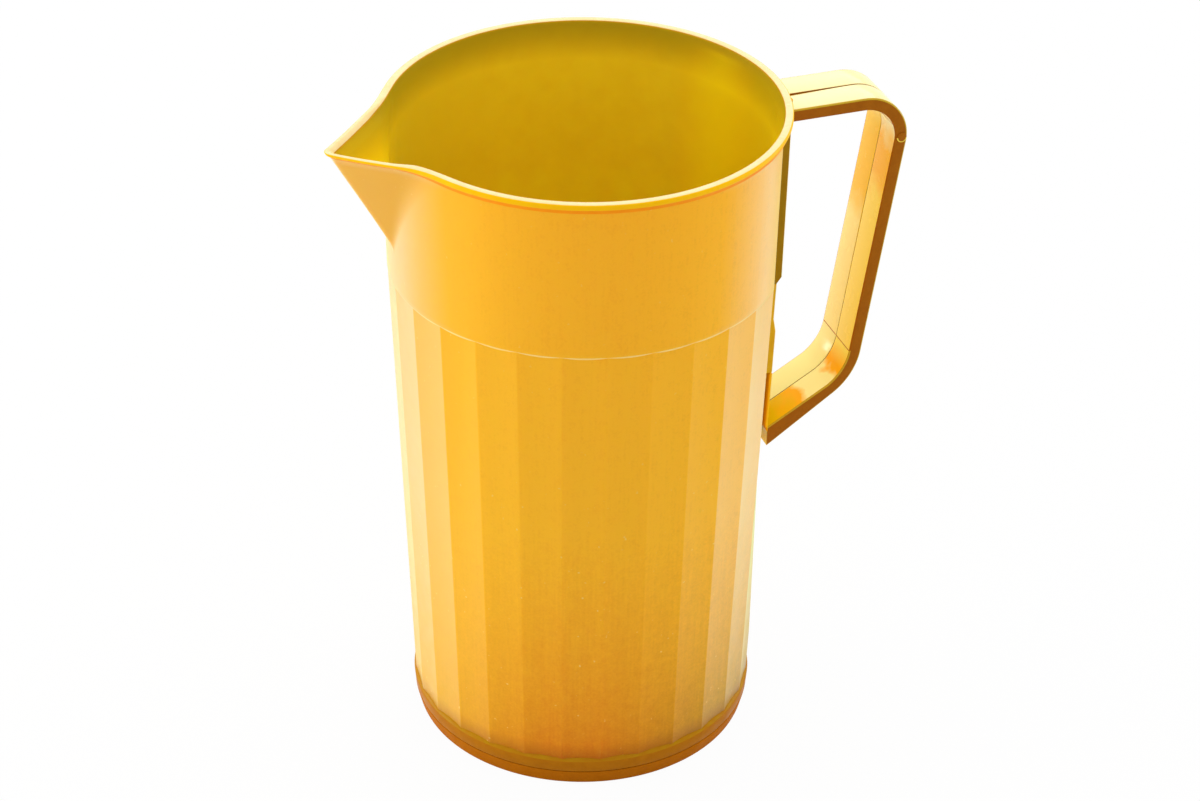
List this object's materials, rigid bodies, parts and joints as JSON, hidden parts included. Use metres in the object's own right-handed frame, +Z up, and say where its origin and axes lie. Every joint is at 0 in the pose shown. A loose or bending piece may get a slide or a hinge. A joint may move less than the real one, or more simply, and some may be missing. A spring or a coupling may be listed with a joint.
{
  "type": "plastic jug",
  "caption": "Tapered plastic jug with a faceted wall, plain collar, V-shaped pouring spout, keyed foot ring and a flat strap handle split along its middle.",
  "frame": {"origin": "on the table, under the middle of the jug's length from the spout's tip to the back of the handle", "axes": "+Z up along the vessel's axis, +X towards the handle, the spout at -X, +Y across the jug to the pourer's right"},
  "size_m": [0.1698, 0.1156, 0.2],
  "materials": {
    "vessel_plastic": "semi-gloss amber plastic, slightly translucent, with fine scuffs",
    "foot_plastic": "semi-gloss amber plastic",
    "handle_plastic": "glossy amber plastic with mould witness lines"
  },
  "bodies": {
    "root": {"jug_body": "vessel_plastic", "foot_ring": "foot_plastic", "handle_left_half": "handle_plastic", "handle_right_half": "handle_plastic"}
  },
  "joints": []
}
